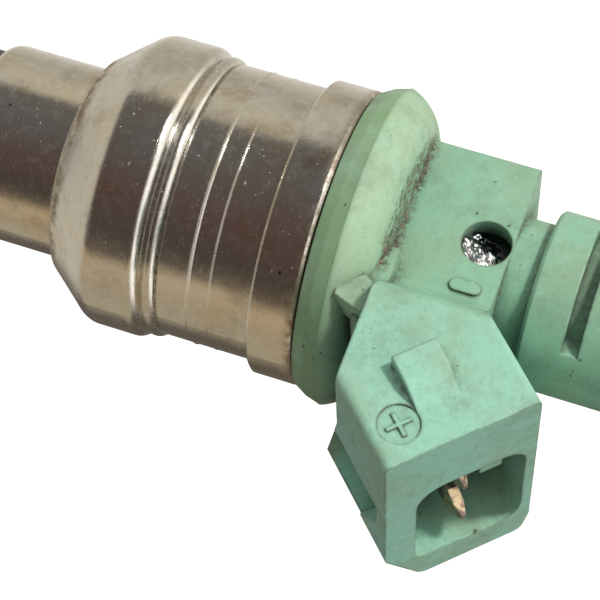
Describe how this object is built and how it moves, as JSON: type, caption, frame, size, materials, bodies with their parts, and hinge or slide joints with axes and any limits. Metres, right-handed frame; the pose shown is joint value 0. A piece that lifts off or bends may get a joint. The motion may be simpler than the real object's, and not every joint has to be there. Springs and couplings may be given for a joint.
{
  "type": "fuel injector",
  "caption": "Top-feed fuel injector: crimped steel body with a pintle nozzle, plastic upper body with an angled two-way plug header, sealing rings at both ends.",
  "frame": {"origin": "on the injector axis, in the end plane of the nozzle cap", "axes": "+Z along the injector axis from the nozzle to the fuel inlet; +X is the side the plug header leans to; the flat sides of the plastic block face -Y and +Y"},
  "size_m": [0.0331, 0.024, 0.0764],
  "materials": {
    "housing_steel": "turned, worn, stained by heat and fuel",
    "green_plastic": "glass-filled nylon, pale at worn edges",
    "terminal_metal": "stamped copper alloy, dulled",
    "grommet_plastic": "moulded",
    "tube_steel": "turned",
    "sleeve_steel": "rolled",
    "filter_brass": "drawn",
    "filter_plastic": "moulded nylon",
    "filter_mesh": "fine woven nylon mesh",
    "core_iron": "turned soft magnetic steel",
    "valve_steel": "ground and hardened",
    "spring_steel": "drawn wire",
    "bobbin_plastic": "glass-filled nylon",
    "copper_winding": "enamelled copper wire",
    "seal_rubber": "moulded fuel-resistant rubber",
    "backing_plastic": "moulded nylon",
    "cap_plastic": "moulded nylon"
  },
  "bodies": {
    "injector": {"steel_housing": "housing_steel", "connector_body": "green_plastic", "terminal_near": "terminal_metal", "terminal_far": "terminal_metal", "terminal_grommets": "grommet_plastic", "inlet_tube": "tube_steel", "adjusting_sleeve": "sleeve_steel", "filter_collar": "filter_brass", "filter_basket": "filter_plastic", "filter_mesh": "filter_mesh", "valve_body": "valve_steel", "stop_plate": "valve_steel", "return_spring": "spring_steel", "coil_bobbin": "bobbin_plastic", "coil_winding": "copper_winding", "coil_seal_upper": "seal_rubber", "coil_seal_lower": "seal_rubber", "ring_upper": "seal_rubber", "ring_lower": "seal_rubber", "backup_ring": "backing_plastic", "support_ring": "backing_plastic", "nozzle_cap": "cap_plastic"},
    "needle_group": {"needle": "valve_steel", "armature": "core_iron"}
  },
  "joints": [
    {"name": "needle_lift", "type": "slide", "parent": "injector", "child": "needle_group", "axis": [0, 0, 1], "range_m": [0, 0.00012], "stiffness_N_per_m": 2500, "springref_m": -0.0015, "deforming": ["return_spring"]}
  ]
}
